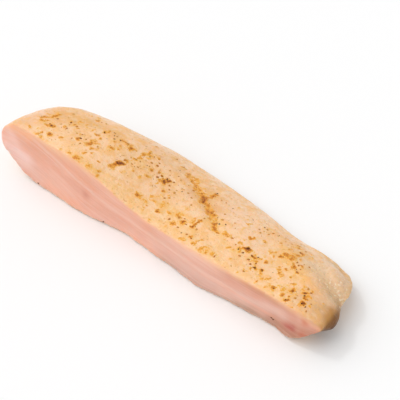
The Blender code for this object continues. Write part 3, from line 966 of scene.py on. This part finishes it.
# %% Shine, softness and relief
MOISTURE = {"Scale": 260.0, "Wettest": 0.3, "Driest": 0.52}
DAMP_ROUGHNESS, DRY_COAT, DAMP_COAT = 0.26, 0.3, 0.5
SOFTNESS = {"Subsurface Weight": 0.25, "Subsurface Radius": (1.0, 0.45, 0.3), "Subsurface Scale": 0.003}
GLOSS = {"Coat Roughness": 0.08, "Specular IOR Level": 0.3}

moist = put(tree, "ShaderNodeGroup", MOISTURE, node_tree=film).node
damp_value = kept(tree, "damp")
roughness = mixed_number(tree, damp_value, moist.outputs["Roughness"], DAMP_ROUGHNESS)
dry_coat = times(tree, times(tree, moist.outputs["Wet"], DRY_COAT), dry_share)
coat = times_plus(tree, damp_value, DAMP_COAT, dry_coat)
fill(tree, shader, {"Roughness": roughness, "Coat Weight": coat} | GLOSS | SOFTNESS)

grain = times_plus(tree, cloud(tree, where, 1500.0, 4.0), 0.5, crumbs)
grain = times_plus(tree, stain_level, 0.4, grain)
wrinkles = cloud(tree, where, 700.0, 3.0, (0.6, 1.0, 1.0))
grain = times_plus(tree, wrinkles, times(tree, damp_value, 2.2), grain)
weave = times(tree, times_plus(tree, fine_streaks, 0.4, streaks), 0.5)
depth = mixed_number(tree, cut_mask, grain, weave)
relief = put(tree, "ShaderNodeBump", {"Height": depth, "Distance": 0.0007, "Strength": 0.7})
fill(tree, shader, {"Normal": relief})
meat.data.materials.clear()
meat.data.materials.append(cooked)
print(cooked.name, "has", len(tree.nodes), "nodes")

# %% [markdown]
# ## Pepper
#
# Coarse grains of pepper are cracked and angular. One is modelled from an icosphere, and each copy is
# scaled, turned and pressed into the surface. The coarse ones lie where the frame has them. Finer ones
# between them give the close-up its true scale.

# %% One cracked grain, and a plainer speck
GRAIN_CRAGS, CRAG_SIZE, CRAG_SHIFT = 0.28, 2.3, Vector((4.0, 1.0, 7.0))


def grain_ball(name, subdivisions):
    bpy.ops.mesh.primitive_ico_sphere_add(subdivisions=subdivisions, radius=0.5, location=(0.0, 0.0, 0.0))
    bpy.context.object.name = name
    return bpy.context.object


bpy.ops.object.select_all(action="DESELECT")
grain_model = grain_ball("pepper_grain", 2)
for vertex in grain_model.data.vertices:
    vertex.co *= 1.0 + GRAIN_CRAGS * noise.noise(vertex.co * CRAG_SIZE + CRAG_SHIFT)
speck_model = grain_ball("pepper_speck", 1)
print("faces in a grain and a speck:", len(grain_model.data.polygons), len(speck_model.data.polygons))

# %% Where the coarse grains lie
GRAIN_CLUSTERS = (  # (along, across, reach, grains)
    (24, 17, 6, 8), (42, 15, 6, 6), (45, 28, 4, 5), (58, 22, 7, 6), (67, 27, 5, 8),
    (76, 25, 6, 10), (86, 26, 6, 6), (97, 34, 5, 7), (101, 9, 6, 6), (110, 23, 6, 8),
    (132, 12, 7, 12), (128, 33, 7, 8), (140, 35, 4, 5), (150, 24, 7, 7), (163, 9, 6, 8),
)
GRAIN_SEED, LONE_GRAINS, GRAIN_GAP = 11, 16, 2.0

draw = random.Random(GRAIN_SEED)
places = []


def add_place(spot):
    """Takes a place if it is on the top and clear of the places before it."""
    inside = 8.0 < spot.x < 169.0 and 2.5 < spot.y < 0.82 * half_width(spot.x)
    if inside and all((spot - other).length > GRAIN_GAP for other in places):
        places.append(spot)


for along, across, reach, count in GRAIN_CLUSTERS:
    wanted = len(places) + count
    while len(places) < wanted:
        add_place(Vector((draw.gauss(along, 0.6 * reach), draw.gauss(across, 0.5 * reach))))
wanted = len(places) + LONE_GRAINS
while len(places) < wanted:
    add_place(Vector((draw.uniform(0.0, LENGTH), draw.uniform(0.0, WIDEST))))
print("coarse grains:", len(places))

# %% A copy of a grain, pressed into the surface
DOWN, INTO_CUT = Vector((0.0, 0.0, -1.0)), Vector((0.0, 1.0, 0.0))
LEAST_FACING = 0.15  # an edge-on surface takes no grain

surface = BVHTree.FromPolygons([v.co for v in meat.data.vertices], [p.vertices for p in meat.data.polygons])
grains = []


def press_in(model, start, towards, form, turn, sunk, tone):
    """form is the copy's length, width and thickness, and sunk is its middle's depth, in millimetres."""
    found, normal, _, _ = surface.ray_cast((start + THICK_END_AT) * MM, towards)
    if found is None or normal.dot(towards) > -LEAST_FACING:
        return
    mesh = model.data.copy()
    stand = normal.to_track_quat("Z", "Y").to_matrix().to_4x4()
    size = Matrix.Diagonal((*(side * MM for side in form), 1.0))
    middle = Matrix.Translation(found - normal * sunk * MM)
    mesh.transform(middle @ stand @ Matrix.Rotation(turn, 4, "Z") @ size)
    layer = mesh.attributes.new("tone", "FLOAT", "POINT")
    layer.data.foreach_set("value", np.full(len(mesh.vertices), tone, np.float32))
    grains.append(bpy.data.objects.new("grain", mesh))
    bpy.context.scene.collection.objects.link(grains[-1])


def drop(model, along, across, form, turn, tone, sunk_share=0.15):
    """Lets a copy fall on the top from above. It sinks in by a share of its length."""
    press_in(model, Vector((along, across, 60.0)), DOWN, form, turn, sunk_share * form[0], tone)


def stain_near(along, across):
    """The strength of the strongest large stain at a place."""
    offs = [math.hypot(along - mark[0], across - mark[1]) for mark in MARKS]
    return float(max(mark[3] * bump(off, 0.0, 1.6 * mark[2]) for off, mark in zip(offs, MARKS)))


# %% The frame's own grains: darker where they lie on a stain
for spot in places:
    size, turn, narrow = draw.uniform(0.8, 1.5), draw.uniform(0.0, math.tau), draw.uniform(0.65, 1.0)
    tone = min(0.36 + 0.5 * stain_near(*spot) + 0.25 * draw.random(), 0.9)
    drop(grain_model, *spot, (size, size * narrow, 0.7 * size), turn, tone)
print("grains:", len(grains))

# %% Dark grains that stand out, on the outside and on the cut
DARK_GRAINS = (  # (along, across)
    (43.8, 29.4), (45.6, 27.4), (47.4, 25.5), (41.1, 25.7), (66.5, 25), (63.9, 30.2), (76.5, 35.8),
    (76.9, 24), (77.2, 25.9), (86, 25.5), (96.5, 37.5), (101.7, 5.4), (108.3, 33.3), (110.7, 20.3),
    (113, 21.8), (118.9, 33.9), (125.4, 33.5), (132.6, 34.3), (126.2, 13.2), (129, 16.1), (133.2, 13.8),
    (137.7, 9.5), (141.1, 9.8), (150.4, 4.9), (157.7, 3.1), (162.4, 9.6), (163.9, 5.5), (151.2, 20.2),
    (58, 15.1), (21.6, 12.3),
)
CUT_GRAINS = ((153.0, 5.4), (153.9, 5.0), (8.9, 4.5), (21.2, 1.7), (60.3, 1.2))  # (along, height)
CUT_GRAIN_FORM, DARK_TONE, CUT_GRAIN_TONE = (1.2, 0.9, 0.5), 0.95, 0.9

for along, across in DARK_GRAINS:
    size, turn = draw.uniform(0.6, 1.0), draw.uniform(0.0, math.tau)
    drop(grain_model, along, across, (size, 0.8 * size, 0.6 * size), turn, DARK_TONE, 0.1)
for along, height_there in CUT_GRAINS:
    start = Vector((along, -40.0, height_there))
    press_in(grain_model, start, INTO_CUT, CUT_GRAIN_FORM, 0.5, 0.1, CUT_GRAIN_TONE)
print("grains:", len(grains))

# %% Fine specks
SPECKS, IN_A_CLUSTER = 520, 0.7

for _ in range(SPECKS):
    if draw.random() < IN_A_CLUSTER:
        along, across, reach, _ = draw.choice(GRAIN_CLUSTERS)
        along, across = draw.gauss(along, reach), draw.gauss(across, 0.9 * reach)
    else:
        along, across = draw.uniform(2.0, 165.0), draw.uniform(1.0, 46.0)
    if 1.0 < across < 0.9 * half_width(along) and 2.0 < along < 170.0:
        size, turn, narrow = draw.uniform(0.25, 0.6), draw.uniform(0.0, math.tau), draw.uniform(0.5, 1.0)
        drop(speck_model, along, across, (size, size * narrow, 0.6 * size), turn, draw.uniform(0.4, 0.9))
print("grains and specks:", len(grains))

# %% All of it becomes one piece
bpy.ops.object.select_all(action="DESELECT")
for grain_object in grains:
    grain_object.select_set(True)
bpy.context.view_layer.objects.active = grains[0]
bpy.ops.object.join()
pepper = bpy.context.object
pepper.name = "pepper"
for model in (grain_model, speck_model):
    bpy.data.objects.remove(model)
print("pepper:", len(pepper.data.polygons), "faces")

# %% [markdown]
# ## The pepper's material
#
# A grain's own tone, kept with its points, says how dark it is. Fine noise adds the lighter core that shows
# where a peppercorn cracked.

# %% Pepper
CRACKED_CORE, PEPPER_SPECULAR = shade(176, 136, 88), 0.2
DRYNESS = {"Scale": 1500.0, "Wettest": 0.5, "Driest": 0.8}

spice, tree, spice_shader = new_material("pepper")
where = object_place(tree)
tone = times_plus(tree, ripple(tree, where, 2600.0), 0.6, kept(tree, "tone"))
tone_color = put(tree, "ShaderNodeGroup", {"Strength": tone}, node_tree=browning)
spice_color = glaze(tree, tone_color, (rise(tree, tone, 0.85, 0.4), 0.5, CRACKED_CORE))
dry_film = put(tree, "ShaderNodeGroup", DRYNESS, node_tree=film)
crags = cloud(tree, where, 4000.0)
relief = put(tree, "ShaderNodeBump", {"Height": crags, "Distance": 0.0001, "Strength": 0.6})
fill(tree, spice_shader, {"Base Color": spice_color, "Roughness": dry_film, "Normal": relief})
spice_shader.inputs["Specular IOR Level"].default_value = PEPPER_SPECULAR
pepper.data.materials.clear()
pepper.data.materials.append(spice)
print(spice.name, "has", len(tree.nodes), "nodes")

# %% [markdown]
# ## Handing over
#
# Both pieces ride on the frame's only body, and the meat takes the place of the plain solid.

# %% Rides and replacements
for piece in (meat, pepper):
    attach(piece, "root")
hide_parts("chicken_breast")
